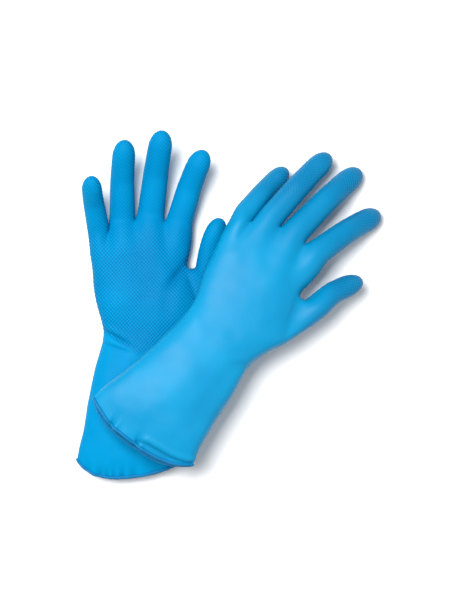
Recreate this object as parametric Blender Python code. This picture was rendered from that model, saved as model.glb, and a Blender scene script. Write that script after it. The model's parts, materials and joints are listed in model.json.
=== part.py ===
"""A pair of household rubber gloves with rolled cuffs.

The right glove lies palm up on the table and the left one lies palm down across its sleeve and thumb.
Each glove is one dipped skin, modelled as the zones that bend against each other: sleeve, hand, and the
lengths of each finger stall between its bends. Every zone is an open shell of the same thin wall.

The tables are in millimetres, in the frame of one flat glove: X across the hand towards the thumb,
Y from the wrist (0) to the fingertips, Z out of the palm. Angles are in degrees.
"""

import math

import bmesh
import bpy
from mathutils import Matrix, Vector

MM = 0.001

# The dipped skin
WALL = 0.5
CLEARANCE = 0.5  # between neighbouring zones
BEAD_RADIUS = 1.6
BEAD_GAP = 0.35
TABLE_Z = 0.0

# How far a zone bends. Each stall bends towards its palm side.
KNUCKLE_BACK = 8.0  # a knuckle also bends this far backwards, so its far side stands open
HINGE_LIFT = 0.6  # the bending line lies this far above the skin of the palm side
DIGIT_SIDES = 12

# Sleeve and hand cross-sections from mouth to knuckles:
# (y, centre x, half width, depth to the palm side, depth to the back, share of the knuckles' shape)
SLEEVE = (
    (-114.0, -7.0, 53.0, 12.0, 12.0, 0.0),
    (-104.0, -6.0, 51.5, 14.0, 14.5, 0.0),
    (-84.0, -3.5, 47.5, 15.5, 17.0, 0.0),
    (-58.0, -0.5, 42.5, 16.5, 17.5, 0.0),
    (-32.0, 2.0, 38.5, 16.5, 17.5, 0.0),
    (-10.0, 2.0, 37.0, 16.5, 17.0, 0.0),
)
HAND = (
    SLEEVE[-1],
    (12.0, 6.0, 45.0, 18.0, 16.5, 0.1),
    (34.0, 2.0, 46.5, 18.0, 16.0, 0.3),
    (56.0, -2.5, 44.0, 16.0, 15.0, 0.6),
    (71.0, -3.0, 45.0, 14.0, 14.0, 0.85),
)
MOUTH_BULGE = 15.0  # the rim runs this much further out at the middle of each face than at its folds
SECTION_POWER = 2.5  # 2 is an ellipse, and more is squarer
COLUMN_ANGLES = (26, 46, 62, 76, 90, 104, 118, 134, 154)

# The knuckle line: x and y of the nine columns from the little finger's outside to the index finger's.
# Odd columns are the middles of the stalls and even ones are the webs between them.
KNUCKLE_COLUMNS = (
    (-47.0, 78.0),
    (-39.5, 82.0),
    (-31.5, 84.0),
    (-20.0, 92.0),
    (-7.5, 95.0),
    (4.8, 98.0),
    (17.0, 94.0),
    (28.8, 90.0),
    (40.5, 82.0),
)
KNUCKLE_DEPTH = 11.5
WEB_DEPTH_SHARE = 0.62
WEB_RISE = 3.0  # the middle of a web stands this much further out than its faces
SIDE_SWELL = 2.0  # the sides of the hand stand this much outside the outer columns

# Finger stalls: where the stall leaves the hand, its lengths between bends, width and thickness.
DIGITS = {
    "little_finger": {
        "root": (-41.3, 89.0, 3.0),
        "lengths": (26.0, 16.0, 16.0),
        "width": 18.5,
        "depth": 17.0,
    },
    "ring_finger": {"root": (-20.4, 99.0, -0.5), "lengths": (36.0, 23.0, 20.0), "width": 20.5, "depth": 18.5},
    "middle_finger": {"root": (5.0, 104.0, 0.0), "lengths": (37.0, 25.0, 21.0), "width": 21.5, "depth": 19.0},
    "index_finger": {"root": (30.5, 97.0, 0.0), "lengths": (32.0, 21.0, 20.0), "width": 21.0, "depth": 18.5},
    "thumb": {"root": (55.5, 52.0, 3.0), "lengths": (26.0, 28.0), "width": 23.0, "depth": 20.0},
}
FINGERS = tuple(DIGITS)[:4]
PHALANGES = {3: ("base", "mid", "tip"), 2: ("base", "tip")}
TIP_TAPER = 0.9  # width of a stall where its rounded end begins, as a share of its width at the root

# How each stall lies: (heading, pitch towards the palm) of each length, and the roll of its palm side
# towards the thumb. Heading is measured from +Y towards the thumb.
RIGHT_LIE = {
    "little_finger": ((-10.0, 30.0), (-6.0, 44.0), (0.0, 52.0), 0.0),
    "ring_finger": ((0.0, 24.0), (4.0, 35.0), (7.0, 42.0), 0.0),
    "middle_finger": ((7.0, 21.0), (9.0, 34.0), (11.0, 41.0), 0.0),
    "index_finger": ((16.0, 17.0), (21.0, 27.0), (25.0, 35.0), 0.0),
    "thumb": ((9.0, 16.0), (10.0, 24.0), -60.0),
}
LEFT_LIE = {
    "little_finger": ((6.0, 14.0), (9.0, 23.0), (12.0, 32.0), 0.0),
    "ring_finger": ((7.0, 6.0), (9.0, 17.0), (12.0, 29.0), 0.0),
    "middle_finger": ((10.0, 11.5), (13.0, 25.5), (15.0, 37.0), 0.0),
    "index_finger": ((20.0, 16.0), (24.0, 29.0), (27.0, 42.0), 0.0),
    "thumb": ((15.0, 12.0), (20.0, 24.0), -50.0),
}

# Where each glove lies on the table: its wrist's place, its heading clockwise from +Y, and its pitch
RIGHT_PLACE = {"wrist": (-75.5, -22.0, 12.8), "heading": 1.0, "pitch": 0.0}
LEFT_PLACE = {"wrist": (-1.0, -17.0, 47.5), "heading": 34.0, "pitch": -4.5}

SKIN_BLUE = (0.0, 0.36, 0.72, 1.0)
BEAD_BLUE = (0.0, 0.24, 0.58, 1.0)


class Glove:
    """One glove of the pair: its side, the way its palm faces, and where it lies."""

    def __init__(self, side, palm_up, lie, place):
        self.side = side
        self.flip = 1.0 if palm_up else -1.0
        self.lie = lie
        turn = Matrix.Rotation(-math.radians(place["heading"]), 4, "Z")
        tilt = Matrix.Rotation(math.radians(place["pitch"]), 4, "X")
        self.matrix = Matrix.Translation(Vector(place["wrist"])) @ turn @ tilt

    def placed(self, local):
        """A point of the flat glove, where the glove lies, in metres."""
        return self.matrix @ Vector((local[0], local[1], local[2] * self.flip)) * MM

    def point(self, local):
        """A point of the skin, which lies flat where it would sink into the table."""
        placed = self.placed(local)
        placed.z = max(placed.z, TABLE_Z)
        return placed

    def direction(self, local):
        return (self.matrix.to_3x3() @ Vector((local[0], local[1], local[2] * self.flip))).normalized()


class Frame:
    """The directions of one length of a stall: along it, out of its palm side, and across it."""

    def __init__(self, heading, pitch, roll=0.0):
        h, p, r = (math.radians(a) for a in (heading, pitch, roll))
        self.along = Vector((math.sin(h) * math.cos(p), math.cos(h) * math.cos(p), math.sin(p)))
        self.up = Vector((-math.sin(h) * math.sin(p), -math.cos(h) * math.sin(p), math.cos(p)))
        self.across = self.along.cross(self.up)
        self.roll = r

    def palm(self):
        """The direction that the stall bends in."""
        return self.up * math.cos(self.roll) + self.across * math.sin(self.roll)


def section_at(centre, frame, half_width, half_depth, angles, lean=0.0):
    """Points round a stall at a bend. Lean tips the far side of the section along the stall, in degrees."""
    points = []
    for angle in angles:
        own = angle - frame.roll
        reach = 1.0 / math.hypot(math.cos(own) / half_width, math.sin(own) / half_depth)
        point = frame.across * math.cos(angle) * reach + frame.up * math.sin(angle) * reach
        fall = half_depth + HINGE_LIFT - point.dot(frame.palm())
        points.append(centre + point + frame.along * fall * math.tan(math.radians(lean)))
    return points


def round_angles(sides):
    return [2 * math.pi * i / sides for i in range(sides)]


def bends_of(glove, digit):
    """The bends of a stall from its root: (centre, frame of the section there, frame of the length after)."""
    spec = DIGITS[digit]
    *lie, roll = glove.lie[digit]
    bends, centre, before = [], Vector(spec["root"]), lie[0]
    for (heading, pitch), length in zip(lie, spec["lengths"]):
        across_bend = Frame((before[0] + heading) / 2, (before[1] + pitch) / 2, roll)
        after = Frame(heading, pitch, roll)
        bends.append((centre.copy(), across_bend, after))
        centre += after.along * length
        before = (heading, pitch)
    bends.append((centre.copy(), after, after))
    return bends


def hinge_of(glove, digit, index):
    """Where a stall bends, in metres, and the axis that turns it towards its palm side."""
    centre, frame, _ = bends_of(glove, digit)[index]
    half_depth = DIGITS[digit]["depth"] / 2 * width_share(index, len(DIGITS[digit]["lengths"]))
    place = glove.placed(centre + frame.palm() * (half_depth + HINGE_LIFT))
    return place, glove.direction(frame.along).cross(glove.direction(frame.palm())).normalized()


def wrist_hinge(glove):
    """The sleeve bends back over the back of the hand, about a line just outside the skin there."""
    y, centre, _, _, back, _ = SLEEVE[-1]
    place = glove.placed(Vector((centre, y, -back - HINGE_LIFT)))
    towards_mouth, out_of_back = glove.direction((0, -1, 0)), glove.direction((0, 0, -1))
    return place, towards_mouth.cross(out_of_back).normalized()


def width_share(index, count):
    """How a stall narrows from its root (1) to its last bend."""
    return 1.0 - (1.0 - TIP_TAPER) * index / count


def knuckle_shape():
    """(x, z share, y) of the sides and columns of the knuckle line, in the order of round_shape()."""
    xs, ys = zip(*KNUCKLE_COLUMNS)
    top = [(x, WEB_DEPTH_SHARE if i % 2 == 0 else 1.0, y) for i, (x, y) in enumerate(zip(xs, ys))]
    back = [(x, -share, y) for x, share, y in top]
    radial = (xs[8] + SIDE_SWELL, 0.0, ys[8] - SIDE_SWELL)
    ulnar = (xs[0] - SIDE_SWELL, 0.0, ys[0] - SIDE_SWELL)
    return [radial, *reversed(top), ulnar, *back]


def round_shape():
    """(x share, z share) of twenty points round a section.

    They run from the thumb side by the palm columns 8 to 0 to the other side, and back by the back columns 0 to 8.
    """
    power = 2.0 / SECTION_POWER
    top = []
    for angle in COLUMN_ANGLES:
        c, s = math.cos(math.radians(angle)), math.sin(math.radians(angle))
        top.append((math.copysign(abs(c) ** power, c), abs(s) ** power))
    back = [(x, -z) for x, z in reversed(top)]
    return [(1.0, 0.0), *top, (-1.0, 0.0), *back]


def section_of_hand(station):
    """The twenty points of a sleeve or hand section, in the flat glove's frame."""
    y, centre, half, palm, back, share = station
    mean_y = sum(p[1] for p in KNUCKLE_COLUMNS) / len(KNUCKLE_COLUMNS)
    points = []
    for (rx, rz), (kx, kz, ky) in zip(round_shape(), knuckle_shape()):
        z_share = rz + (kz - rz) * share
        x = centre + half * rx + (kx - centre - half * rx) * share
        points.append(Vector((x, y + (ky - mean_y) * share, (palm if z_share > 0 else back) * z_share)))
    return points


def knuckle_section():
    return [Vector((x, y, KNUCKLE_DEPTH * share)) for x, share, y in knuckle_shape()]


def loop_faces(bm, lower, upper):
    """Quads between two rings of the same number of points."""
    count = len(lower)
    for i in range(count):
        j = (i + 1) % count
        bm.faces.new((lower[i], upper[i], upper[j], lower[j]))


def add_ring(bm, glove, points):
    return [bm.verts.new(glove.point(p)) for p in points]


def finish_skin(name, bm, glove, origin, smooth_levels=0):
    """Turns an open skin into a solid wall, with its origin on its joint: the skin is its outer face."""
    if glove.flip < 0:
        bmesh.ops.reverse_faces(bm, faces=bm.faces)
    bmesh.ops.translate(bm, verts=bm.verts, vec=-origin)
    mesh = bpy.data.meshes.new(name)
    bm.to_mesh(mesh)
    bm.free()
    obj = bpy.data.objects.new(name, mesh)
    obj.location = origin
    bpy.context.scene.collection.objects.link(obj)
    if smooth_levels:
        surface = obj.modifiers.new("smooth", "SUBSURF")
        surface.levels = surface.render_levels = smooth_levels
    wall = obj.modifiers.new("wall", "SOLIDIFY")
    wall.thickness = WALL * MM
    wall.offset = -1.0
    mesh.materials.append(rubber(name, SKIN_BLUE))
    mesh.shade_smooth()
    return obj


def rubber(name, colour):
    material = bpy.data.materials.new(name + "_rubber")
    material.use_nodes = True
    shader = material.node_tree.nodes["Principled BSDF"]
    shader.inputs["Base Color"].default_value = colour
    shader.inputs["Roughness"].default_value = 0.45
    shader.inputs["Metallic"].default_value = 0.0
    return material


def make_digit(glove, digit):
    """The lengths of one stall, each its own shell, and a rounded shell at the tip."""
    spec = DIGITS[digit]
    bends = bends_of(glove, digit)
    count = len(spec["lengths"])
    angles = round_angles(DIGIT_SIDES)
    for i, part in enumerate(PHALANGES[count]):
        centre, frame, along = bends[i]
        end, end_frame, _ = bends[i + 1]
        sizes = [[spec[k] / 2 * width_share(j, count) for k in ("width", "depth")] for j in (i, i + 1)]
        lean = KNUCKLE_BACK if i == 0 else 0.0
        start = centre + frame.along * CLEARANCE
        bm = bmesh.new()
        rings = [add_ring(bm, glove, section_at(start, frame, *sizes[0], angles, lean))]
        if part == "tip":
            pole = add_rounded_end(bm, glove, rings, end, along, sizes, angles)
            for a, b in zip(rings[-1], rings[-1][1:] + rings[-1][:1]):
                bm.faces.new((b, a, pole))
        else:
            middle = [sum(pair) / 2 for pair in zip(*sizes)]
            rings.append(add_ring(bm, glove, section_at((centre + end) / 2, along, *middle, angles)))
            rings.append(add_ring(bm, glove, section_at(end, end_frame, *sizes[1], angles)))
        for lower, upper in zip(rings, rings[1:]):
            loop_faces(bm, lower, upper)
        finish_skin(f"{glove.side}_{digit}_{part}", bm, glove, hinge_of(glove, digit, i)[0])


def add_rounded_end(bm, glove, rings, end, frame, sizes, angles):
    """Rings of the rounded end of a stall that stops at end, and the point at its pole."""
    half_width, half_depth = sizes[1]
    for turn in (0, 30, 60):
        c, s = math.cos(math.radians(turn)), math.sin(math.radians(turn))
        centre = end - frame.along * half_width * (1.0 - s)
        rings.append(add_ring(bm, glove, section_at(centre, frame, half_width * c, half_depth * c, angles)))
    return bm.verts.new(glove.point(end))


def make_sleeve(glove):
    bm = bmesh.new()
    rings = [add_ring(bm, glove, mouth_section())]
    rings += [add_ring(bm, glove, section_of_hand(station)) for station in SLEEVE[1:-1]]
    top = section_of_hand(SLEEVE[-1])
    rings.append(add_ring(bm, glove, [p - Vector((0, CLEARANCE, 0)) for p in top]))
    for lower, upper in zip(rings, rings[1:]):
        loop_faces(bm, lower, upper)
    finish_skin(f"{glove.side}_sleeve", bm, glove, wrist_hinge(glove)[0], 1)


def mouth_section():
    """The sleeve's rim, which bulges out at the middle of each face."""
    points = section_of_hand(SLEEVE[0])
    _, centre, half, *_ = SLEEVE[0]
    return [p - Vector((0, MOUTH_BULGE * (1 - ((p.x - centre) / half) ** 2), 0)) for p in points]


def make_bead(glove):
    """The rolled rim, a round cord of rubber just outside the sleeve's edge."""
    drop = BEAD_RADIUS + BEAD_GAP
    points = [glove.point(p - Vector((0, drop, 0))) for p in mouth_section()]
    curve = bpy.data.curves.new(f"{glove.side}_cuff_bead", "CURVE")
    curve.dimensions = "3D"
    curve.bevel_depth = BEAD_RADIUS * MM
    curve.bevel_resolution = 2
    curve.resolution_u = 2
    spline = curve.splines.new("NURBS")
    spline.points.add(len(points) - 1)
    for target, point in zip(spline.points, points):
        raised = max(point.z, (TABLE_Z + BEAD_RADIUS) * MM)
        target.co = (point.x, point.y, raised, 1.0)
    spline.order_u = 4
    spline.use_cyclic_u = True
    curve.materials.append(rubber(curve.name, BEAD_BLUE))
    bpy.context.scene.collection.objects.link(bpy.data.objects.new(curve.name, curve))


def make_hand(glove):
    """The hand zone: a tube from the wrist to the knuckles, with a short neck for each stall."""
    bm = bmesh.new()
    sections = [section_of_hand(station) for station in HAND] + [knuckle_section()]
    rings = [add_ring(bm, glove, points) for points in sections]
    for lower, upper in zip(rings, rings[1:]):
        loop_faces(bm, lower, upper)
    add_finger_necks(bm, glove, rings[-1])
    add_thumb_neck(bm, glove, rings)
    finish_skin(f"{glove.side}_hand", bm, glove, glove.placed((0, 0, 0)), 1)


def neck_section(glove, digit):
    """The eight control points of the neck that a stall joins, which its smoothing draws in."""
    spec = DIGITS[digit]
    centre, frame, _ = bends_of(glove, digit)[0]
    draw_in = (4 + 2 * math.cos(math.pi / 4)) / 6
    halves = [spec[k] / 2 / draw_in for k in ("width", "depth")]
    return section_at(centre, frame, *halves, round_angles(8))


def add_finger_necks(bm, glove, knuckles):
    """Each neck starts from eight points of the knuckle line: two webs, and three columns on each face."""
    side_radial, palm, side_ulnar, back = knuckles[0], knuckles[9:0:-1], knuckles[10], knuckles[11:]
    webs = [side_ulnar]
    for column in (2, 4, 6):
        x, y = KNUCKLE_COLUMNS[column]
        webs.append(bm.verts.new(glove.point((x, y + WEB_RISE, 0.0))))
    webs.append(side_radial)
    for k, digit in enumerate(FINGERS):
        left, mid, right = 2 * k, 2 * k + 1, 2 * k + 2
        start = [webs[k + 1], palm[right], palm[mid], palm[left], webs[k], back[left], back[mid], back[right]]
        loop_faces(bm, start, add_ring(bm, glove, neck_section(glove, digit)))


def add_thumb_neck(bm, glove, rings):
    """The thumb's neck grows from the side of the hand, between the second ring and the fourth."""
    low, middle, high = rings[1], rings[2], rings[3]
    hole = middle[0]
    start = [low[0], low[1], middle[1], high[1], high[0], high[19], middle[19], low[19]]
    bmesh.ops.delete(bm, geom=[hole], context="VERTS")
    end = neck_section(glove, "thumb")
    ring = add_ring(bm, glove, end)
    between = [bm.verts.new((a.co + b.co) / 2) for a, b in zip(start, ring)]
    loop_faces(bm, start, between)
    loop_faces(bm, between, ring)


def centre_on_table():
    """Moves the pair sideways until the middle of its outline is at the origin."""
    bpy.context.view_layer.update()
    graph = bpy.context.evaluated_depsgraph_get()
    corners = []
    for obj in bpy.data.objects:
        shape = obj.evaluated_get(graph)
        corners += [shape.matrix_world @ vertex.co for vertex in shape.to_mesh().vertices]
        shape.to_mesh_clear()
    middle = [(min(c[k] for c in corners) + max(c[k] for c in corners)) / 2 for k in (0, 1)]
    for obj in bpy.data.objects:
        obj.location -= Vector((*middle, 0))
    return middle


def build():
    for obj in list(bpy.data.objects):
        bpy.data.objects.remove(obj, do_unlink=True)
    for glove in PAIR:
        make_sleeve(glove)
        make_bead(glove)
        make_hand(glove)
        for digit in DIGITS:
            make_digit(glove, digit)
    return centre_on_table()


PAIR = (Glove("right", True, RIGHT_LIE, RIGHT_PLACE), Glove("left", False, LEFT_LIE, LEFT_PLACE))
build()
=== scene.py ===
"""A pair of dipped household rubber gloves: skins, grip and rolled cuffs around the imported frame.

Each glove is one cage of quads, built twice with the same faces: once where the glove lies and once flat,
with its stalls straight. The flat one says where on the glove a point is, so that the grip and the folds
follow the skin. Tables are in millimetres in the frame of the flat glove: X across the hand towards the
thumb, Y from the wrist to the fingertips and Z out of the palm. Everything else is in metres.
"""

import json
import math

import bpy
import numpy as np
from mathutils import Matrix, Vector, kdtree, noise


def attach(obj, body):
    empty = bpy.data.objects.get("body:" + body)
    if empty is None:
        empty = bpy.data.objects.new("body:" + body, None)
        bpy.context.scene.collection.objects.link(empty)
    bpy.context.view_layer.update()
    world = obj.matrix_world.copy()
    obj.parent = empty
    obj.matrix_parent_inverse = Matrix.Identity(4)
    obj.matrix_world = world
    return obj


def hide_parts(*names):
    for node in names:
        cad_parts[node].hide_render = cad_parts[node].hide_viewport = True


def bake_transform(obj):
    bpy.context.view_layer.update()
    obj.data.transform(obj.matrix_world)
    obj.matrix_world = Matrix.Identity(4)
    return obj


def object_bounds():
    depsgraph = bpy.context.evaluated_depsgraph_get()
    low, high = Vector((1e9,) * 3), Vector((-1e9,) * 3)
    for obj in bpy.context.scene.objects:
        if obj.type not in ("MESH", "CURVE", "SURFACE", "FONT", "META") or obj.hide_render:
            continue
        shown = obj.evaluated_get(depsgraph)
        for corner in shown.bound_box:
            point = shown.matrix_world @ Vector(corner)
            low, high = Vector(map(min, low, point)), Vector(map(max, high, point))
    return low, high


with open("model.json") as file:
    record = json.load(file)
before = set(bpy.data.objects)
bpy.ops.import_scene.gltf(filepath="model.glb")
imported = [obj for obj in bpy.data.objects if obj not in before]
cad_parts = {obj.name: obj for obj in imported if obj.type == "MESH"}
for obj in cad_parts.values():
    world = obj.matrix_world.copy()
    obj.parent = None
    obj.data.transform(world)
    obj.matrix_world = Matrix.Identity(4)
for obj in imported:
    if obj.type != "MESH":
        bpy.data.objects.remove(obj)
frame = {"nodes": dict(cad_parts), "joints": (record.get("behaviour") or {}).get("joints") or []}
cad_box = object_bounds()

MM = 0.001
JOINTS = {joint["name"]: joint for joint in frame["joints"]}

# The dipped skin
WALL = 0.5
HINGE_LIFT = 0.6
OUTER_LEVEL = 4
INNER_LEVEL = 3
SECTION_POWER = 2.5
WRIST_Y = -10.0
WRIST_BACK = 17.0
WRIST_X = 2.0
BEND_REACH = 7.0  # a stall bends over this length on each side of its joint
THUMB_ROWS = 3  # rings of the hand that the thumb's opening cuts through

# Sections of the hand, from the wrist to the knuckles:
# (y, little finger side, thumb side, depth to the palm side, depth to the back, share of the knuckles' shape)
HAND = (
    (4.0, -36.8, 46.0, 17.0, 16.5, 0.0),
    (12.0, -39.5, 52.5, 18.0, 16.5, 0.0),
    (23.0, -42.5, 51.5, 18.5, 16.0, 0.0),
    (34.0, -44.5, 48.5, 18.5, 15.5, 0.1),
    (45.0, -45.8, 44.5, 17.5, 15.0, 0.1),
    (56.0, -46.5, 38.0, 16.0, 14.5, 0.2),
    (65.0, -47.5, 36.5, 14.5, 13.5, 0.35),
    (74.0, -48.5, 37.5, 13.0, 12.5, 0.62),
)
# Sections of each sleeve, from its rim to the wrist
SLEEVE = {
    "right": (
        (-114.0, -57.5, 45.5, 6.5, 8.0),
        (-110.0, -57.0, 45.2, 8.5, 9.5),
        (-102.0, -55.8, 44.0, 12.0, 12.0),
        (-88.0, -52.8, 42.5, 15.0, 14.5),
        (-73.0, -50.2, 41.0, 16.0, 15.0),
        (-57.0, -47.8, 40.0, 16.5, 15.5),
        (-41.0, -44.3, 39.0, 16.5, 15.5),
        (-26.0, -40.6, 38.0, 16.5, 15.5),
        (-14.0, -37.4, 37.6, 16.5, 15.5),
        (-5.0, -35.8, 40.5, 16.5, 16.0),
    ),
    "left": (
        (-117.0, -61.5, 44.8, 7.5, 5.5),
        (-113.0, -61.2, 44.0, 9.0, 7.5),
        (-104.0, -59.8, 41.8, 12.5, 11.5),
        (-90.0, -55.2, 40.2, 15.0, 15.0),
        (-74.0, -49.8, 39.6, 16.0, 17.0),
        (-57.0, -45.6, 39.4, 16.5, 17.5),
        (-41.0, -42.0, 38.8, 16.5, 17.5),
        (-26.0, -38.6, 37.0, 16.5, 17.0),
        (-14.0, -36.4, 38.2, 16.5, 17.0),
        (-5.0, -35.8, 42.0, 16.5, 16.5),
    ),
}
# How far the rim runs out at the middle of the palm side and of the back, how round it is, and how it leans
MOUTH = {
    "right": {"palm": 15.4, "back": 16.4, "power": 2.6, "lean": 7.3},
    "left": {"palm": 16.5, "back": 15.0, "power": 3.0, "lean": 0.0},
}
# Where the upper rim is drawn in by its folds, and how far it arches back between them
SCALLOPS = {"right": (), "left": ((-60.0, -35.0, 2.6), (-35.0, -8.0, 2.2))}

# The knuckle line: x and y of its columns from the little finger's outside to the index finger's.
# Every third column is a web.
KNUCKLES = (
    (-48.0, 78.0), (-43.5, 81.5), (-37.5, 83.5), (-32.5, 83.0),
    (-25.5, 90.5), (-16.0, 93.5), (-8.8, 94.0),
    (-0.5, 98.0), (9.5, 97.5), (16.6, 93.0),
    (25.5, 91.5), (34.0, 88.0), (40.5, 82.0),
)
KNUCKLE_DEPTH = 11.0
WEB_DEPTH_SHARE = 0.5
WEB_RISE = 3.2
SIDE_SWELL = 2.0

# Finger stalls: width, thickness, and the joints in order
STALLS = {
    "little finger": {"width": 20.0, "depth": 17.0, "joints": ("knuckle", "middle joint", "end joint")},
    "ring finger": {"width": 23.2, "depth": 18.5, "joints": ("knuckle", "middle joint", "end joint")},
    "middle finger": {"width": 24.2, "depth": 19.0, "joints": ("knuckle", "middle joint", "end joint")},
    "index finger": {"width": 23.6, "depth": 18.5, "joints": ("knuckle", "middle joint", "end joint")},
    "thumb": {"width": 24.4, "depth": 20.0, "joints": ("knuckle", "joint")},
}
FINGERS = tuple(STALLS)[:4]
LENGTHS = {3: ("base", "mid", "tip"), 2: ("base", "tip")}
TIP_TAPER = 0.86
TIP_REACH = {"right": -2.0, "left": 2.5}  # how much further a stall ends than its frame does
THUMB_ROLL = {"right": -60.0, "left": -50.0}
TIP_LENGTH = 1.3  # how long the rounded end is beside its half width
TIP_TURNS = (0, 34, 64)  # degrees round the rounded end at which it has a ring

# Which way each glove lies
PALM_UP = {"right": 1.0, "left": -1.0}
LEAN = {"right": 0.0, "left": -4.5}  # degrees that the hand tips down towards its fingertips

# The grip: two crossing rows of grooves on the palm side that leave raised diamonds
GRIP_PITCH = 2.3
GRIP_DEPTH = 0.42
GRIP_ANGLE = 42.0
TIP_GRIP = (44.0, 20.0)  # the grip goes all round a stall: none this far from its end, whole this near
GRIP_BORDER = (-24.0, -3.6, 0.61)  # its lower end's y, and how it climbs on the little side of that x
GRIP_SPREAD = 40  # rounds of evening out at its border

# The rolled rim
BEAD_RADIUS = 1.5
BEAD_VARIATION = 0.16  # how much thicker and thinner the bead gets, as a share
BEAD_OUT = 0.55  # how far past the rim its centre lies, as a share of its radius
BEAD_STEP = 4  # the bead runs through every fourth point of the rim

# Colour: 0 is the deep colour, towards which painted shade darkens the grip's grooves and the hollows of
# folds, and 1 the pale colour of a stretched face
FACE_TONE = 0.78
STALL_PAINTED_SHADE = {"right": 0.0, "left": 0.28}  # painted shade: how much darker the stalls are drawn than the hand
# painted shade: a full groove of the grip is darkened by this much
GROOVE_PAINTED_SHADE = 0.75  # how much of it a full groove takes away
# painted light and shade: raised relief is made lighter and hollows darker, by this much a millimetre
RELIEF_PAINTED_SHADE = 0.06  # how much each millimetre of relief adds
# painted shade inside the glove: the tone of its inner face
INNER_SHADED_TONE = 0.35
BEAD_TONE = 0.6


# ---------------------------------------------------------------- where each glove lies


def place_of(side):
    """The matrix from the flat glove's frame, in metres, to the row frame, from the wrist joint."""
    joint = JOINTS[f"{side} wrist"]
    flip = PALM_UP[side]
    x = Vector(joint["axis"]) * flip
    y = Vector((0, 0, 1)).cross(x)
    turn = Matrix((x, y, x.cross(y))).transposed() @ Matrix.Rotation(math.radians(LEAN[side]), 3, "X")
    hinge = Vector((WRIST_X, WRIST_Y, -(WRIST_BACK + HINGE_LIFT) * flip)) * MM
    return Matrix.Translation(Vector(joint["pos_m"]) - turn @ hinge) @ turn.to_4x4()


class Glove:
    """One glove: its side, and how a point of the flat glove is placed on the table."""

    def __init__(self, side):
        self.side = side
        self.flip = PALM_UP[side]
        self.matrix = place_of(side)

    def placed(self, flat):
        """Where a point of the flat glove lies, in metres. It rests on the table at the lowest."""
        place = self.matrix @ (Vector((flat[0], flat[1], flat[2] * self.flip)) * MM)
        place.z = max(place.z, 0.0)
        return place

    def unplaced(self, place):
        local = self.matrix.inverted() @ place
        return Vector((local.x, local.y, local.z * self.flip)) / MM


def stall_of(glove, name):
    """The bends of a stall, from the frame's joints: centres, far end, and the directions between them."""
    spec = STALLS[name]
    joints = [JOINTS[f"{glove.side} {name} {joint}"] for joint in spec["joints"]]
    places = [Vector(joint["pos_m"]) for joint in joints]
    axes = [Vector(joint["axis"]) for joint in joints]
    node = f"{glove.side}_{name.replace(' ', '_')}_tip"
    tip = frame["nodes"][node].data.vertices
    end = max((vertex.co.copy() for vertex in tip), key=lambda co: (co - places[-1]).length)
    end += (end - places[-1]).normalized() * TIP_REACH[glove.side] * MM
    count = len(joints)
    depths = [(spec["depth"] / 2 * (1 - (1 - TIP_TAPER) * i / count) + HINGE_LIFT) * MM for i in range(count)]
    alongs = [(b - a).normalized() for a, b in zip(places, places[1:])]
    alongs.append(alongs[-1])
    for _ in range(4):
        at_bend = [alongs[0]] + [(a + b).normalized() for a, b in zip(alongs, alongs[1:])]
        palms = [axis.cross(along).normalized() for axis, along in zip(axes, at_bend)]
        centres = [place - palm * depth for place, palm, depth in zip(places, palms, depths)]
        alongs = [(b - a).normalized() for a, b in zip(centres, centres[1:] + [end])]
    palms = [axis.cross(along).normalized() for axis, along in zip(axes, alongs)]
    return {"centres": centres + [end], "alongs": alongs, "palms": palms}


# ---------------------------------------------------------------- the cage


class Cage:
    """Vertices placed and flat, and the quads between them, each with the zone of the glove that it is in."""

    def __init__(self, glove):
        self.glove = glove
        self.placed = []
        self.flat = []
        self.faces = []
        self.zones = []

    def add(self, placed, flat):
        placed.z = max(placed.z, 0.0)
        self.placed.append(placed)
        self.flat.append(Vector(flat))
        return len(self.placed) - 1

    def ring(self, points):
        return [self.add(self.glove.placed(point), point) for point in points]

    def quads(self, lower, upper, zone, skip=()):
        count = len(lower)
        for i in range(count):
            if i not in skip:
                j = (i + 1) % count
                self.faces.append((lower[i], upper[i], upper[j], lower[j]))
                self.zones.append(zone)

    def mesh(self, points, levels):
        """The cage at these points, subdivided, as a plain mesh."""
        mesh = bpy.data.meshes.new("cage")
        faces = self.faces if self.glove.flip > 0 else [face[::-1] for face in self.faces]
        mesh.from_pydata([tuple(point) for point in points], [], faces)
        mesh.polygons.foreach_set("material_index", self.zones)
        obj = bpy.data.objects.new("cage", mesh)
        bpy.context.scene.collection.objects.link(obj)
        smooth = obj.modifiers.new("smooth", "SUBSURF")
        smooth.levels = smooth.render_levels = levels
        for _ in range(max(self.zones) + 1):
            mesh.materials.append(None)
        graph = bpy.context.evaluated_depsgraph_get()
        made = bpy.data.meshes.new_from_object(obj.evaluated_get(graph))
        bpy.data.objects.remove(obj)
        bpy.data.meshes.remove(mesh)
        return made


def column_angles():
    return [22.0 + i * (158.0 - 22.0) / (len(KNUCKLES) - 1) for i in range(len(KNUCKLES))]


def round_shape():
    """(x share, z share) round a section: thumb side, palm columns, little finger side, back."""
    power = 2.0 / SECTION_POWER
    top = []
    for angle in column_angles():
        c, s = math.cos(math.radians(angle)), math.sin(math.radians(angle))
        top.append((math.copysign(abs(c) ** power, c), abs(s) ** power))
    return [(1.0, 0.0), *top, (-1.0, 0.0), *((x, -z) for x, z in reversed(top))]


def knuckle_shape():
    """(x, z share, y) of the knuckle line in the order of round_shape()."""
    top = [(x, WEB_DEPTH_SHARE if i % 3 == 0 else 1.0, y) for i, (x, y) in enumerate(KNUCKLES)]
    (first_x, _, first_y), (last_x, _, last_y) = top[0], top[-1]
    thumb_side = (last_x + SIDE_SWELL, 0.0, last_y - SIDE_SWELL)
    little_side = (first_x - SIDE_SWELL, 0.0, first_y - SIDE_SWELL)
    return [thumb_side, *reversed(top), little_side, *((x, -z, y) for x, z, y in top)]


MEAN_KNUCKLE = sum(y for _, y in KNUCKLES) / len(KNUCKLES)


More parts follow.
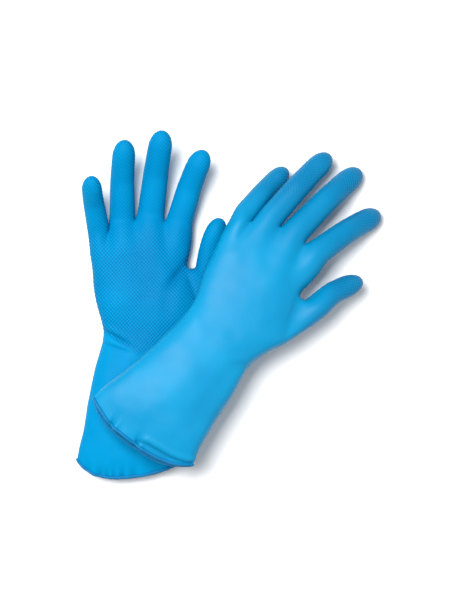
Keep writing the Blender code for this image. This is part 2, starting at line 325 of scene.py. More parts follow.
def section_points(y, little, thumb, palm, back, share=0.0):
    centre, half = (little + thumb) / 2, (thumb - little) / 2
    points = []
    for (rx, rz), (kx, kz, ky) in zip(round_shape(), knuckle_shape()):
        x = centre + half * rx
        x += (kx - x) * share
        z = rz + (kz - rz) * share ** 2.2
        points.append(Vector((x, y + (ky - MEAN_KNUCKLE) * share, (palm if z > 0 else back) * z)))
    return points


def rim_reach(side, x, to_palm):
    """How far the rim runs out past its corners at x, on the palm side (1), on the back (0) or between."""
    mouth = MOUTH[side]
    little, thumb = SLEEVE[side][0][1:3]
    across = np.clip((x - (little + thumb) / 2) / ((thumb - little) / 2), -1.0, 1.0)
    reach = mouth["palm"] * to_palm + mouth["back"] * (1 - to_palm)
    lean = mouth["lean"] * across * (1 - across ** 6)
    reach = reach * (1 - abs(across) ** mouth["power"]) - lean
    to_upper = to_palm if PALM_UP[side] > 0 else 1 - to_palm
    for first, last, depth in SCALLOPS[side]:
        arch = np.sin(math.pi * np.clip((x - first) / (last - first), 0.0, 1.0))
        reach = reach - depth * arch * np.clip(2.2 * to_upper - 1.2, 0.0, 1.0)
    return reach


def mouth_points(side, row):
    """A ring near the rim, which runs out at the middle of each face, and furthest on the longer one."""
    y, little, thumb, palm, back = row
    rim = SLEEVE[side][0][0]
    share = max(0.0, 1.0 - (y - rim) / 45.0) ** 1.4
    points = section_points(y, little, thumb, palm, back)
    for point in points:
        to_palm = 0.5 + 0.5 * point.z / (palm if point.z > 0 else back)
        point.y -= rim_reach(side, point.x, to_palm) * share
    return points


def build_sleeve(cage, zone):
    """Rings from the rim up to the hand. Returns the last ring."""
    rings = [cage.ring(mouth_points(cage.glove.side, row)) for row in SLEEVE[cage.glove.side]]
    rings.append(cage.ring(section_points(*HAND[0])))
    for lower, upper in zip(rings, rings[1:]):
        cage.quads(lower, upper, zone)
    return rings[-1]


def build_hand(cage, wrist, zone):
    """Rings from the wrist to the knuckle line, with the thumb's opening left out of them."""
    rings = [wrist] + [cage.ring(section_points(*row)) for row in HAND[1:]]
    knuckles = [Vector((x, y, KNUCKLE_DEPTH * share)) for x, share, y in knuckle_shape()]
    rings.append(cage.ring(knuckles))
    last = len(wrist) - 1
    for i, (lower, upper) in enumerate(zip(rings, rings[1:])):
        in_opening = 1 <= i <= THUMB_ROWS + 1
        cage.quads(lower, upper, zone, skip=(0, last) if in_opening else ())
    return rings


def thumb_opening(rings):
    """The loop of the hand that the thumb's stall grows from, from the wrist side round by the palm."""
    low, high, between = rings[1], rings[THUMB_ROWS + 2], rings[2:THUMB_ROWS + 2]
    loop = [low[0], low[1], *(ring[1] for ring in between), high[1]]
    return loop + [high[0], high[-1], *(ring[-1] for ring in reversed(between)), low[-1]]


def finger_openings(cage, rings):
    """The loop of each finger: a web, four columns of the palm side, a web, and four of the back."""
    line = rings[-1]
    count = len(KNUCKLES)
    palm, little_side, back = line[count:0:-1], line[count + 1], line[count + 2:]
    webs = [little_side]
    for x, y in KNUCKLES[3:-1:3]:
        flat = Vector((x, y + WEB_RISE, 0.0))
        webs.append(cage.add(cage.glove.placed(flat), flat))
    webs.append(line[0])
    loops = []
    for k in range(len(FINGERS)):
        columns = range(3 * k, 3 * k + 4)
        palm_side = [palm[c] for c in reversed(columns)]
        loops.append([webs[k + 1], *palm_side, webs[k], *(back[c] for c in columns)])
    return loops


def frames_of(glove, name, stall):
    """(across, up, along) of each length of a stall, where it lies and flat, and its flat centres."""
    roll = math.radians(THUMB_ROLL[glove.side]) if name == "thumb" else 0.0
    placed, flat = [], []
    turn = glove.matrix.to_3x3().inverted()
    flat_centres = [glove.unplaced(stall["centres"][0])]
    flat_centres[0].z = 0.0
    for i, (along, palm) in enumerate(zip(stall["alongs"], stall["palms"])):
        rolled = along.cross(palm) * glove.flip
        across = rolled * math.cos(roll) + palm * math.sin(roll)
        up = palm * math.cos(roll) - rolled * math.sin(roll)
        placed.append((across, up, along))
        local = turn @ along
        heading = math.atan2(local.x, local.y)
        ahead = Vector((math.sin(heading), math.cos(heading), 0))
        flat.append((Vector((math.cos(heading), -math.sin(heading), 0)), Vector((0, 0, 1)), ahead))
        length = (stall["centres"][i + 1] - stall["centres"][i]).length / MM
        flat_centres.append(flat_centres[-1] + ahead * length)
    return placed, flat, flat_centres, roll


def between(a, b, share):
    return tuple((u * (1 - share) + v * share).normalized() for u, v in zip(a, b))


def build_stall(cage, name, opening, zones):
    """The rings of one stall, from its opening to its rounded end."""
    glove, spec = cage.glove, STALLS[name]
    stall = stall_of(glove, name)
    placed, flat, flat_centres, roll = frames_of(glove, name, stall)
    count, sides = len(placed), len(opening)
    lengths = [(b - a).length / MM for a, b in zip(stall["centres"], stall["centres"][1:])]
    draw_in = (4 + 2 * math.cos(2 * math.pi / sides)) / 6
    total = sum(lengths)
    before, loop = 0.0, opening
    reaches = []
    for i in range(count):
        shortest = min(lengths[max(i - 1, 0):i + 1] + [BEND_REACH / 0.4])
        reaches.append(0.4 * shortest)

    def add_ring(i, distance, frames, size=1.0):
        share = 1.0 - (1.0 - TIP_TAPER) * min(1.0, (before + distance) / (total * 0.92))
        half_width, half_depth = (spec[k] / 2 * share * size / draw_in for k in ("width", "depth"))
        ring = []
        for k in range(sides):
            angle = 2 * math.pi * k / sides
            own = angle - roll
            reach = 1.0 / math.hypot(math.cos(own) / half_width, math.sin(own) / half_depth)
            a, b = math.cos(angle) * reach, math.sin(angle) * reach
            (across, up, along), (f_across, f_up, f_along) = frames
            place = stall["centres"][i] + (along * distance + across * a + up * b) * MM
            ring.append(cage.add(place, flat_centres[i] + f_along * distance + f_across * a + f_up * b))
        return ring

    for i in range(count):
        own = (placed[i], flat[i])
        if i:
            at_bend = (between(placed[i - 1], placed[i], 0.5), between(flat[i - 1], flat[i], 0.5))
        else:
            at_bend = own
        ring = add_ring(i, 0.0, at_bend)
        cage.quads(loop, ring, zones[i])
        loop = ring
        if i < count - 1:
            stop = lengths[i] - reaches[i + 1]
            run = stop - reaches[i]
            steps = max(1, round(run / 8.0))
            distances = [reaches[i] + run * k / steps for k in range(steps + 1)]
        else:
            half = spec["width"] / 2 * TIP_TAPER * TIP_LENGTH
            distances = [min(reaches[i], (lengths[i] - half) * 0.6)]
            if lengths[i] - half - reaches[i] > 7:
                distances = [reaches[i], (reaches[i] + lengths[i] - half) / 2]
        for distance in distances:
            ring = add_ring(i, distance, own)
            cage.quads(loop, ring, zones[i])
            loop = ring
        if i == count - 1:
            for turn in TIP_TURNS:
                c, s = math.cos(math.radians(turn)), math.sin(math.radians(turn))
                ring = add_ring(i, lengths[i] - half * (1 - s), own, c)
                cage.quads(loop, ring, zones[i])
                loop = ring
            pole = cage.add(stall["centres"][-1] + own[0][2] * 0.4 * MM, flat_centres[-1] + own[1][2] * 0.4)
            for k in range(0, sides, 2):
                a, b, c = loop[k], loop[(k + 1) % sides], loop[(k + 2) % sides]
                cage.faces.append((a, pole, c, b))
                cage.zones.append(zones[i])
        before += lengths[i]
    return {"stall": stall, "reaches": reaches, "zones": zones}


def build_cage(glove):
    cage = Cage(glove)
    wrist = build_sleeve(cage, 0)
    rings = build_hand(cage, wrist, 1)
    openings = dict(zip(FINGERS, finger_openings(cage, rings)))
    openings["thumb"] = thumb_opening(rings)
    stalls, zone = {}, 2
    for name, opening in openings.items():
        count = len(STALLS[name]["joints"])
        stalls[name] = build_stall(cage, name, opening, list(range(zone, zone + count)))
        zone += count
    return cage, stalls


# ---------------------------------------------------------------- the skin's own relief


def read(mesh, what, kind, width):
    values = np.empty(len(getattr(mesh, what)) * width, np.float32)
    getattr(mesh, what).foreach_get(kind, values)
    return values.reshape(-1, width) if width > 1 else values


def smoothstep(low, high, value):
    t = np.clip((value - low) / (high - low), 0.0, 1.0)
    return t * t * (3 - 2 * t)


def ridge(x, y, at, heading, length, width):
    """1 along a line of that length through a point of the flat glove, falling to 0 over its width."""
    c, s = math.cos(math.radians(heading)), math.sin(math.radians(heading))
    along = (x - at[0]) * s + (y - at[1]) * c
    off = (x - at[0]) * c - (y - at[1]) * s
    return np.exp(-((along / (length / 2)) ** 2) - (off / width) ** 2)


def hump(x, y, at, radius):
    return np.exp(-(((x - at[0]) ** 2 + (y - at[1]) ** 2) / radius ** 2))


# The web of the thumb, where the skin is eased: (x, y), radius, and the rounds of evening out
THUMB_WEB = ((42.0, 42.0), 14.0)
WEB_EASE = 50
# Slow unevenness of the whole skin: seed, size of a wave, height
UNEVEN_SEED = {"right": 1.0, "left": 2.0}
UNEVEN_SIZE = 26.0
UNEVEN_HEIGHT = 0.55
# Raised pads and hollows of the palm: (x, y), radius, height
PALM_FORM = (
    ((33.0, 26.0), 17.0, 1.6),
    ((-30.0, 22.0), 17.0, 1.4),
    ((2.0, 46.0), 19.0, -1.4),
    ((-12.0, 80.0), 16.0, 0.8),
    ((26.0, 80.0), 13.0, 0.8),
)
# Soft folds: side it is on (1 palm, -1 back), (x, y), heading, length, width, height
FOLDS = {
    "right": (
        (1, (-26.0, -6.0), 118.0, 30.0, 1.8, -1.5),
        (1, (-24.0, -2.0), 120.0, 28.0, 2.2, 1.0),
        (1, (-26.0, -12.0), 112.0, 26.0, 2.2, 0.8),
        (1, (-27.0, -16.0), 108.0, 30.0, 2.2, -1.0),
        (1, (-12.0, -28.0), 40.0, 44.0, 7.0, 0.8),
        (1, (-34.0, -60.0), 12.0, 60.0, 6.0, 0.7),
        (1, (2.0, -70.0), -8.0, 70.0, 9.0, -0.8),
        (1, (30.0, 48.0), 38.0, 25.0, 4.5, -3.0),
        (1, (22.0, 26.0), 8.0, 36.0, 6.5, -1.0),
        (1, (-20.0, 62.0), 75.0, 40.0, 4.0, -0.6),
    ),
    "left": (
        (-1, (-8.0, -60.0), 8.0, 90.0, 14.0, 1.0),
        (-1, (24.0, -60.0), 4.0, 80.0, 8.0, -1.0),
        (-1, (34.0, -22.0), 60.0, 24.0, 4.0, -1.2),
        (-1, (-28.0, -12.0), -50.0, 34.0, 7.0, 0.8),
        (-1, (38.0, 30.0), 28.0, 46.0, 7.0, -0.7),
        (-1, (10.0, 60.0), 6.0, 46.0, 10.0, 0.8),
        (-1, (-20.0, 62.0), -2.0, 40.0, 7.0, -0.5),
    ),
}
# Puckers where the rolled rim pulls the skin in: x, half width, depth, and how far they run up the sleeve
PUCKERS = {
    "right": (
        (-47.0, 2.6, 1.0, 6.0), (-36.0, 2.2, 1.4, 6.0), (-30.0, 1.7, 1.9, 6.0), (-24.0, 1.6, 1.4, 8.0),
        (-16.0, 1.9, 1.8, 6.0), (-6.0, 2.6, 1.2, 9.0), (12.0, 4.0, 1.0, 9.0),
    ),
    "left": ((-35.0, 1.8, 2.6, 5.0), (-8.0, 2.0, 3.0, 6.0), (-22.0, 5.0, -0.8, 9.0), (20.0, 5.0, 0.7, 7.0)),
}
# Where the rim turns down: from x, to x, how far from the rim it starts at each, and how far it drops
TURNED_RIM = {"right": (), "left": ((-7.0, 44.0, 4.0, 2.0, 2.2),)}


def relief(glove, flat, facing):
    """How far each point of the skin stands out, in mm. Facing is 1 where it faces out of the palm."""
    x, y = flat[:, 0], flat[:, 1]
    palm, back = smoothstep(-0.15, 0.55, facing), smoothstep(-0.15, 0.55, -facing)
    out = np.zeros(len(x))
    for at, radius, height in PALM_FORM:
        out += palm * height * hump(x, y, at, radius)
    for side, at, heading, length, width, height in FOLDS[glove.side]:
        out += (palm if side > 0 else back) * height * ridge(x, y, at, heading, length, width)
    upper = 1.0 if glove.flip > 0 else 0.0
    from_rim = y - (SLEEVE[glove.side][0][0] - rim_reach(glove.side, x, upper))
    up = smoothstep(-0.3, 0.3, facing * glove.flip)
    for at, width, depth, reach in PUCKERS[glove.side]:
        near = np.exp(-np.maximum(from_rim, 0.0) / reach) * (y < -60)
        spread = width * (1 + np.maximum(from_rim, 0.0) / 10.0)
        out -= up * near * depth * np.exp(-(((x - at) / spread) ** 2))
        out += up * near * depth * 0.45 * np.exp(-(((x - at - 2.4 * width) / spread) ** 2))
    for first, last, start, end, drop in TURNED_RIM[glove.side]:
        along = np.clip((x - first) / (last - first), 0.0, 1.0)
        line = start + (end - start) * along + 3.2 * np.sin(math.pi * along ** 0.6)
        within = smoothstep(first - 4.0, first + 5.0, x) * (y < -60)
        out -= up * within * drop * smoothstep(line + 2.0, line - 2.4, from_rim)
        out += up * within * 0.6 * np.exp(-(((from_rim - line - 3.0) / 2.6) ** 2))
    return out


def waviness(points, seed, scale, octaves=2):
    """Seeded noise at each point, from -1 to 1."""
    offset = Vector((seed * 7.3, seed * 3.1, seed * 5.7))
    return np.array([noise.fractal(Vector(p) / scale + offset, 0.9, 2.0, octaves) for p in points])


def even_out(values, faces, rounds):
    """The values, each moved half way to the mean of its neighbours' that many times."""
    size = len(values)
    first, second = faces.ravel(), np.roll(faces, -1, axis=1).ravel()
    count = np.maximum(np.bincount(first, minlength=size) + np.bincount(second, minlength=size), 1)
    for _ in range(rounds):
        total = np.bincount(first, values[second], size) + np.bincount(second, values[first], size)
        values = 0.5 * values + 0.5 * total / count
    return values


def grip_mask(flat, facing, stalls, faces):
    """1 where the skin carries the grip: the palm side, the sides of the stalls, and all round their tips."""
    x, y = flat[:, 0], flat[:, 1]
    mask = smoothstep(-0.35, 0.12, facing)
    for made in stalls.values():
        end = made["flat_end"]
        reach = np.hypot(x - end[0], y - end[1])
        mask = np.maximum(mask, smoothstep(*TIP_GRIP, reach))
    lowest, turn_x, climb = GRIP_BORDER
    start = lowest + np.maximum(0.0, turn_x - x) * climb
    lower_on_stalls = 1.0 - 0.4 * np.maximum(smoothstep(80.0, 104.0, y), smoothstep(44.0, 66.0, x))
    return even_out(mask * lower_on_stalls, faces, GRIP_SPREAD) * smoothstep(-1.0, 6.0, y - start)


# ---------------------------------------------------------------- node trees


def link_nodes(tree, pairs):
    for source, target in pairs:
        tree.links.new(source, target)


def math_node(tree, operation, first, second=None):
    node = tree.nodes.new("ShaderNodeMath")
    node.operation = operation
    for socket, value in zip(node.inputs, (first, second)):
        if value is None:
            continue
        if isinstance(value, (int, float)):
            socket.default_value = value
        else:
            tree.links.new(value, socket)
    return node.outputs[0]


def new_geometry_tree(name, inputs):
    tree = bpy.data.node_groups.new(name, "GeometryNodeTree")
    tree.interface.new_socket("Geometry", in_out="INPUT", socket_type="NodeSocketGeometry")
    for label, kind in inputs:
        tree.interface.new_socket(label, in_out="INPUT", socket_type=kind)
    tree.interface.new_socket("Geometry", in_out="OUTPUT", socket_type="NodeSocketGeometry")
    return tree, tree.nodes.new("NodeGroupInput"), tree.nodes.new("NodeGroupOutput")


def close_geometry_tree(tree, geometry, source, target):
    realize = tree.nodes.new("GeometryNodeRealizeInstances")
    finish = tree.nodes.new("GeometryNodeSetMaterial")
    link_nodes(tree, (
        (geometry, realize.inputs[0]),
        (realize.outputs[0], finish.inputs["Geometry"]),
        (source.outputs["Material"], finish.inputs["Material"]),
        (finish.outputs[0], target.inputs[0]),
    ))


def grip_tree():
    """Raises diamonds between two crossing rows of grooves, where the skin's grip attribute says so."""
    tree, source, target = new_geometry_tree("raised_grip", (
        ("Pitch", "NodeSocketFloat"), ("Depth", "NodeSocketFloat"), ("Angle", "NodeSocketFloat"),
        ("Material", "NodeSocketMaterial"),
    ))
    flat = tree.nodes.new("GeometryNodeInputNamedAttribute")
    flat.data_type = "FLOAT_VECTOR"
    flat.inputs["Name"].default_value = "flat"
    grip = tree.nodes.new("GeometryNodeInputNamedAttribute")
    grip.data_type = "FLOAT"
    grip.inputs["Name"].default_value = "grip"
    split = tree.nodes.new("ShaderNodeSeparateXYZ")
    tree.links.new(flat.outputs["Attribute"], split.inputs[0])
    across = math_node(tree, "MULTIPLY", split.outputs[0], math_node(tree, "COSINE", source.outputs["Angle"]))
    along = math_node(tree, "MULTIPLY", split.outputs[1], math_node(tree, "SINE", source.outputs["Angle"]))
    rows = []
    for operation in ("ADD", "SUBTRACT"):
        run = math_node(tree, operation, along, across)
        turns = math_node(tree, "DIVIDE", run, source.outputs["Pitch"])
        angle = math_node(tree, "MULTIPLY", turns, math.pi)
        wave = math_node(tree, "ABSOLUTE", math_node(tree, "SINE", angle))
        rows.append(math_node(tree, "POWER", wave, 0.75))
    height = math_node(tree, "MULTIPLY", rows[0], rows[1])
    full = math_node(tree, "MULTIPLY", grip.outputs["Attribute"], source.outputs["Depth"])
    height = math_node(tree, "MULTIPLY", height, full)
    normal = tree.nodes.new("GeometryNodeInputNormal")
    push = tree.nodes.new("ShaderNodeVectorMath")
    push.operation = "SCALE"
    move = tree.nodes.new("GeometryNodeSetPosition")
    link_nodes(tree, (
        (normal.outputs[0], push.inputs[0]),
        (height, push.inputs["Scale"]),
        (source.outputs["Geometry"], move.inputs["Geometry"]),
        (push.outputs[0], move.inputs["Offset"]),
    ))
    close_geometry_tree(tree, move.outputs[0], source, target)
    return tree


def roll_tree():
    """Sweeps a round bead along the rim, a little thicker and thinner as it goes."""
    tree, source, target = new_geometry_tree("rolled_bead", (
        ("Radius", "NodeSocketFloat"), ("Variation", "NodeSocketFloat"), ("Material", "NodeSocketMaterial"),
    ))
    curve = tree.nodes.new("GeometryNodeMeshToCurve")
    wobble = tree.nodes.new("ShaderNodeTexNoise")
    wobble.inputs["Scale"].default_value = 60.0
    change = math_node(tree, "MULTIPLY", wobble.outputs[0], source.outputs["Variation"])
    size = math_node(tree, "ADD", change, 1.0)
    thickness = tree.nodes.new("GeometryNodeSetCurveRadius")
    profile = tree.nodes.new("GeometryNodeCurvePrimitiveCircle")
    profile.inputs["Resolution"].default_value = 18
    sweep = tree.nodes.new("GeometryNodeCurveToMesh")
    shade = tree.nodes.new("GeometryNodeSetShadeSmooth")
    link_nodes(tree, (
        (source.outputs["Geometry"], curve.inputs["Mesh"]),
        (curve.outputs[0], thickness.inputs["Curve"]),
        (size, thickness.inputs["Radius"]),
        (source.outputs["Radius"], profile.inputs["Radius"]),
        (thickness.outputs[0], sweep.inputs["Curve"]),
        (profile.outputs[0], sweep.inputs["Profile Curve"]),
        (sweep.outputs[0], shade.inputs[0]),
    ))
    close_geometry_tree(tree, shade.outputs[0], source, target)
    return tree


def apply_tree(obj, tree, values):
    """Runs a geometry tree on an object and returns the result as a plain mesh."""
    modifier = obj.modifiers.new(tree.name, "NODES")
    modifier.node_group = tree
    for item in tree.interface.items_tree:
        if item.in_out == "INPUT" and item.name in values:
            modifier[item.identifier] = values[item.name]
    graph = bpy.context.evaluated_depsgraph_get()
    made = bpy.data.meshes.new_from_object(obj.evaluated_get(graph))
    obj.modifiers.remove(modifier)
    return made


# ---------------------------------------------------------------- materials


def rubber(name, colour, deep, gleam, shine=0.5):
    """Satin dipped rubber: mottled colour, with painted shade from the tone attribute in the grip's grooves
    and folds, and a fine matt bloom.
    """
    material = bpy.data.materials.new(name)
    material.use_nodes = True
    tree = material.node_tree
    nodes, links = tree.nodes, tree.links
    shader = nodes["Principled BSDF"]
    shader.inputs["IOR"].default_value = 1.5
    shader.inputs["Specular IOR Level"].default_value = gleam
    place = nodes.new("ShaderNodeTexCoord")
    cloudy = nodes.new("ShaderNodeTexNoise")
    cloudy.inputs["Scale"].default_value = 28.0
    cloudy.inputs["Detail"].default_value = 4.0
    speckle = nodes.new("ShaderNodeTexNoise")
    speckle.inputs["Scale"].default_value = 900.0
    speckle.inputs["Detail"].default_value = 3.0
    for texture in (cloudy, speckle):
        links.new(place.outputs["Object"], texture.inputs["Vector"])
    tint = nodes.new("ShaderNodeMix")
    tint.data_type = "RGBA"
    tint.inputs["A"].default_value = (*deep, 1.0)
    tint.inputs["B"].default_value = (*colour, 1.0)
    # the tone attribute: the base tone with painted shade in grooves, folds, stalls and the inner face
    groove = nodes.new("ShaderNodeAttribute")
    groove.attribute_name = "tone"
    cloud = math_node(tree, "MULTIPLY", math_node(tree, "SUBTRACT", cloudy.outputs[0], 0.5), 0.45)
    amount = math_node(tree, "ADD", cloud, groove.outputs["Fac"])
    clamp = nodes.new("ShaderNodeClamp")
    links.new(amount, clamp.inputs[0])
    links.new(clamp.outputs[0], tint.inputs["Factor"])
    links.new(tint.outputs["Result"], shader.inputs["Base Color"])
    gloss = math_node(tree, "ADD", math_node(tree, "MULTIPLY", cloudy.outputs[0], 0.16), shine - 0.08)
    links.new(gloss, shader.inputs["Roughness"])
    bump = nodes.new("ShaderNodeBump")
    bump.inputs["Strength"].default_value = 0.12
    bump.inputs["Distance"].default_value = 0.0002
    links.new(speckle.outputs[0], bump.inputs["Height"])
    links.new(bump.outputs["Normal"], shader.inputs["Normal"])
    return material


# ---------------------------------------------------------------- skins


def read_faces(mesh):
    return read(mesh, "loops", "vertex_index", 1).reshape(-1, 4).astype(int)


def read_points(mesh, kind="co"):
    return read(mesh, "vertices", kind, 3).astype(float)


def write_points(mesh, points):
    mesh.vertices.foreach_set("co", points.astype(np.float32).ravel())
    mesh.update()


def write_values(mesh, name, values):
    layer = mesh.attributes.new(name, "FLOAT", "POINT")
    layer.data.foreach_set("value", values.astype(np.float32))


def nearest(points, wanted):
    """Which of the points each wanted place is at."""
    tree = kdtree.KDTree(len(points))
    for i, point in enumerate(points):
        tree.insert(point, i)
    tree.balance()
    return np.array([tree.find(place)[1] for place in wanted])


def lay_relief(glove, mesh, flat, facing, faces):
    """Eases the thumb's web and raises the pads and folds. Returns the points, and how far each is raised."""
    points = read_points(mesh)
    eased = np.stack([even_out(column, faces, WEB_EASE) for column in points.T], axis=1)
    points += hump(flat[:, 0], flat[:, 1], *THUMB_WEB)[:, None] * (eased - points)
    write_points(mesh, points)
    normals = read_points(mesh, "normal")
    out = relief(glove, flat, facing)
    uneven = waviness(flat * np.array([1, 1, 2.0]), UNEVEN_SEED[glove.side], UNEVEN_SIZE)
    out += uneven * UNEVEN_HEIGHT * smoothstep(110.0, 60.0, flat[:, 1])
    points += normals * (out * MM)[:, None]
    points[:, 2] = np.maximum(points[:, 2], 0.0)
    write_points(mesh, points)
    return points, out


def skin_tone(glove, flat, out, groove):
    """The colour of each point, with painted shade: darker in the grooves and in the hollows of folds,
    lighter on raised relief, and darker on the stalls.
    """
    # painted shade in the grooves and in the hollows of folds, painted light on raised relief
    tone = FACE_TONE - GROOVE_PAINTED_SHADE * groove + RELIEF_PAINTED_SHADE * np.clip(out, -3.0, 1.5)
    on_fingers = smoothstep(78.0, 118.0, flat[:, 1])
    on_thumb = smoothstep(46.0, 66.0, flat[:, 0])
    # painted shade on the stalls
    return tone - STALL_PAINTED_SHADE[glove.side] * np.maximum(on_fingers, on_thumb)


def shape_skin(cage, stalls):
    """Gives the skin its pads, folds, puckers and grip. Returns everything that the pieces are cut from."""
    glove = cage.glove
    placed = cage.mesh(cage.placed, OUTER_LEVEL)
    flat_mesh = cage.mesh(cage.flat, OUTER_LEVEL)
    coarse = cage.mesh(cage.placed, INNER_LEVEL)
    flat = read_points(flat_mesh)
    facing = read(flat_mesh, "vertices", "normal", 3)[:, 2] * glove.flip
    match = nearest(read_points(placed), read_points(coarse))
    faces = read_faces(placed)

    points, out = lay_relief(glove, placed, flat, facing, faces)
    normals = read_points(placed, "normal")
    grip = grip_mask(flat, facing, stalls, faces)
    grip *= smoothstep(0.2, 0.9, points[:, 2] / MM) if glove.flip > 0 else 1.0
    layer = placed.attributes.new("flat", "FLOAT_VECTOR", "POINT")
    layer.data.foreach_set("vector", (flat * MM).astype(np.float32).ravel())
    write_values(placed, "grip", grip)

    obj = bpy.data.objects.new("skin", placed)
    bpy.context.scene.collection.objects.link(obj)
    made = apply_tree(obj, GRIP_TREE, {
        "Pitch": GRIP_PITCH * MM,
        "Depth": GRIP_DEPTH * MM,
        "Angle": math.radians(GRIP_ANGLE),
        "Material": SKIN_MATERIAL[glove.side],
    })
    bpy.data.objects.remove(obj)
    final = read_points(made)
    lift = np.einsum("ij,ij->i", final - points, normals)
    raised = np.clip(lift / (np.maximum(grip, 0.05) * GRIP_DEPTH * MM), 0, 1)
    return {
        "points": final,
        "normals": read_points(made, "normal"),
        "base": points,
        "base_normals": normals,
        "flat": flat,
        "tone": skin_tone(glove, flat, out, grip * (1 - raised) ** 1.4),
        "faces": faces,
        "zones": read(placed, "polygons", "material_index", 1).astype(int),
        "coarse_faces": read_faces(coarse),
        "coarse_zones": read(coarse, "polygons", "material_index", 1).astype(int),
        "match": match,
    }


def open_edges(faces):
    """The edges, each as its face runs, that belong to one face only."""
    edges = np.concatenate([faces[:, [i, (i + 1) % 4]] for i in range(4)])
    keys = np.sort(edges, axis=1)
    _, index, count = np.unique(keys, axis=0, return_inverse=True, return_counts=True)
    return edges[count[index.reshape(-1)] == 1]


def cut_piece(skin, name, zone, material):
    """One zone of the skin as its own closed shell: the outer face, the inner face and the edges between."""
    faces = skin["faces"][skin["zones"] == zone]
    inner = skin["match"][skin["coarse_faces"][skin["coarse_zones"] == zone]]
    used = np.unique(faces)
    inner_used = np.unique(inner)
    outer_index = {v: i for i, v in enumerate(used)}
    inner_index = {v: i + len(used) for i, v in enumerate(inner_used)}
    inward = skin["base"][inner_used] - skin["base_normals"][inner_used] * WALL * MM
    inward[:, 2] = np.maximum(inward[:, 2], 0.0)
    points = np.concatenate([skin["points"][used], inward])
    normals = np.concatenate([skin["normals"][used], -skin["base_normals"][inner_used]])
    polygons = [[outer_index[v] for v in face] for face in faces.tolist()]
    polygons += [[inner_index[v] for v in face[::-1]] for face in inner.tolist()]
    after = {a: b for a, b in open_edges(faces).tolist()}
    for a, b in open_edges(inner).tolist():
        middle = after[a]
        polygons.append([outer_index[b], outer_index[middle], outer_index[a], inner_index[a], inner_index[b]])
    mesh = bpy.data.meshes.new(name)
    mesh.from_pydata(points.tolist(), [], polygons)
    mesh.materials.append(material)
    mesh.shade_smooth()
    flat = np.concatenate([skin["flat"][used], skin["flat"][inner_used]])
    # the inner face is darkened: painted shade inside the glove
    inner_painted_shade = np.full(len(inner_used), INNER_SHADED_TONE)
    write_values(mesh, "tone", np.concatenate([skin["tone"][used], inner_painted_shade]))
    corners = read(mesh, "loops", "vertex_index", 1).astype(int)
    layer = mesh.uv_layers.new(name="flat_glove")
    layer.data.foreach_set("uv", (flat[corners][:, :2] / 400.0 + 0.5).astype(np.float32).ravel())
    mesh.normals_split_custom_set_from_vertices(normals.tolist())
    obj = bpy.data.objects.new(name, mesh)
    bpy.context.scene.collection.objects.link(obj)
    return obj


def make_glove(glove):
    cage, stalls = build_cage(glove)
    for made in stalls.values():
        made["flat_end"] = stall_end(cage, made)
    skin = shape_skin(cage, stalls)
    side, material = glove.side, SKIN_MATERIAL[glove.side]

    sleeve = cut_piece(skin, f"{side}_sleeve_skin", 0, material)
    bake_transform(sleeve)
    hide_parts(f"{side}_sleeve")

    hand = cut_piece(skin, f"{side}_hand_skin", 1, material)
    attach(hand, f"{side} hand")
    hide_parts(f"{side}_hand")

    for name, made in stalls.items():
        parts = LENGTHS[len(made["zones"])]
        for i, part in enumerate(parts):
            label = name.replace(" ", "_")
            piece = cut_piece(skin, f"{side}_{label}_skin_{part}", made["zones"][i], material)
            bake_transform(piece)
            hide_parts(f"{side}_{label}_{part}")
    make_roll(glove, skin)


def stall_end(cage, made):
    """The flat place of a stall's rounded end."""
    zone = made["zones"][-1]
    used = {v for face, z in zip(cage.faces, cage.zones) if z == zone for v in face}
    first = cage.flat[min(used)]
    return max((cage.flat[v] for v in used), key=lambda flat: (flat - first).length)


def make_roll(glove, skin):
    """The rolled rim: a bead along the mouth of the sleeve."""
    side = glove.side
    edges = open_edges(skin["faces"][skin["zones"] == 0])
    rim = {a: b for a, b in edges.tolist() if skin["flat"][a][1] < -60}
    start = next(iter(rim))
    loop, current = [start], rim[start]
    while current != start:
        loop.append(current)
        current = rim[current]
    points = skin["points"][loop] - skin["normals"][loop] * WALL / 2 * MM
    mouth = np.array(glove.matrix.to_3x3() @ Vector((0, -1, 0)))
    points = points + mouth * BEAD_RADIUS * BEAD_OUT * MM
    points[:, 2] = np.maximum(points[:, 2], BEAD_RADIUS * MM)
    points = points[::BEAD_STEP]
    mesh = bpy.data.meshes.new("rim")
    count = len(points)
    mesh.from_pydata(points.tolist(), [(i, (i + 1) % count) for i in range(count)], [])
    guide = bpy.data.objects.new("rim", mesh)
    bpy.context.scene.collection.objects.link(guide)
    made = apply_tree(guide, ROLL_TREE, {
        "Radius": BEAD_RADIUS * MM,
        "Variation": BEAD_VARIATION,
        "Material": ROLL_MATERIAL,
    })
    bpy.data.objects.remove(guide)
    made.name = f"{side}_cuff_roll"
    write_values(made, "tone", np.full(len(made.vertices), BEAD_TONE))
    bead = bpy.data.objects.new(f"{side}_cuff_roll", made)
    bpy.context.scene.collection.objects.link(bead)
    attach(bead, f"{side} sleeve")
    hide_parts(f"{side}_cuff_bead")


# ---------------------------------------------------------------- the stage

FLOOR_REACH = 4.0
FLOOR_GAP = 0.0004  # the floor lies this far under the gloves
WORLD_LIGHT = 0.34
# Lights: name, place, size, power
LIGHTS = (
    ("overhead", (-0.48, 0.36, 1.7), 0.9, 54.0),
    ("fill", (1.2, -0.6, 1.3), 1.2, 6.0),
)
CAMERA_HEIGHT = 2.4
CAMERA_OFFSET = (0.0036, -0.0021)  # from above the middle of the pair
HEIGHT_SHARE = 0.5625  # how much of the frame's height the pair takes up


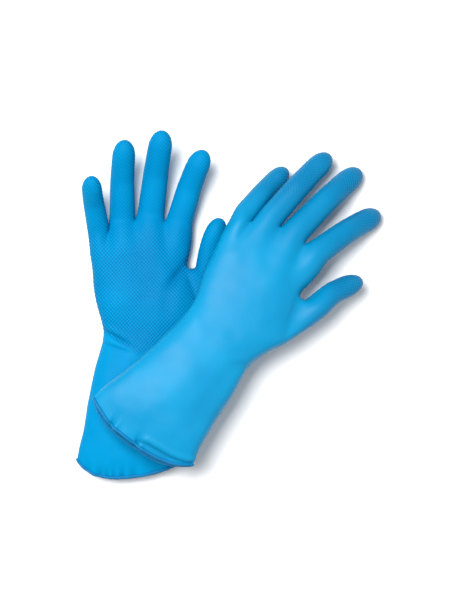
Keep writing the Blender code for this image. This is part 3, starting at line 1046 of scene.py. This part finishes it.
def make_stage(low, high):
    """A pale floor, a large soft light overhead with a weaker fill, and a camera straight above."""
    mesh = bpy.data.meshes.new("floor")
    reach = FLOOR_REACH
    corners = [(-reach, -reach, 0), (reach, -reach, 0), (reach, reach, 0), (-reach, reach, 0)]
    mesh.from_pydata(corners, [], [(0, 1, 2, 3)])
    floor = bpy.data.objects.new("floor", mesh)
    material = bpy.data.materials.new("pale_floor")
    material.use_nodes = True
    shader = material.node_tree.nodes["Principled BSDF"]
    shader.inputs["Base Color"].default_value = (0.93, 0.93, 0.93, 1)
    shader.inputs["Roughness"].default_value = 0.9
    shader.inputs["Specular IOR Level"].default_value = 0.1
    mesh.materials.append(material)
    bpy.context.scene.collection.objects.link(floor)
    floor.location.z = -FLOOR_GAP

    world = bpy.data.worlds.new("studio")
    world.use_nodes = True
    world.node_tree.nodes["Background"].inputs[0].default_value = (0.97, 0.985, 1.0, 1)
    world.node_tree.nodes["Background"].inputs[1].default_value = WORLD_LIGHT
    bpy.context.scene.world = world

    for name, place, size, power in LIGHTS:
        light = bpy.data.lights.new(name, "AREA")
        light.size = size
        light.energy = power
        lamp = bpy.data.objects.new(name, light)
        lamp.location = place
        lamp.rotation_euler = (-Vector(place)).to_track_quat("-Z", "Y").to_euler()
        bpy.context.scene.collection.objects.link(lamp)

    camera = bpy.data.cameras.new("camera")
    span = (high.y - low.y) / HEIGHT_SHARE
    camera.lens = camera.sensor_width * CAMERA_HEIGHT / span
    eye = bpy.data.objects.new("camera", camera)
    aside, along = CAMERA_OFFSET
    eye.location = ((low.x + high.x) / 2 + aside, (low.y + high.y) / 2 + along, CAMERA_HEIGHT)
    bpy.context.scene.collection.objects.link(eye)
    bpy.context.scene.camera = eye
    bpy.context.scene.view_settings.view_transform = "Standard"


make_stage(*cad_box)
GRIP_TREE = grip_tree()
ROLL_TREE = roll_tree()
SKIN_MATERIAL = {
    "right": rubber("right_rubber", (0.0, 0.24, 0.48), (0.0, 0.10, 0.26), 0.03),
    "left": rubber("left_rubber", (0.0, 0.235, 0.45), (0.0, 0.11, 0.26), 0.15, 0.46),
}
ROLL_MATERIAL = rubber("rolled_rubber", (0.0, 0.17, 0.37), (0.0, 0.09, 0.24), 0.12)
for side in ("right", "left"):
    make_glove(Glove(side))
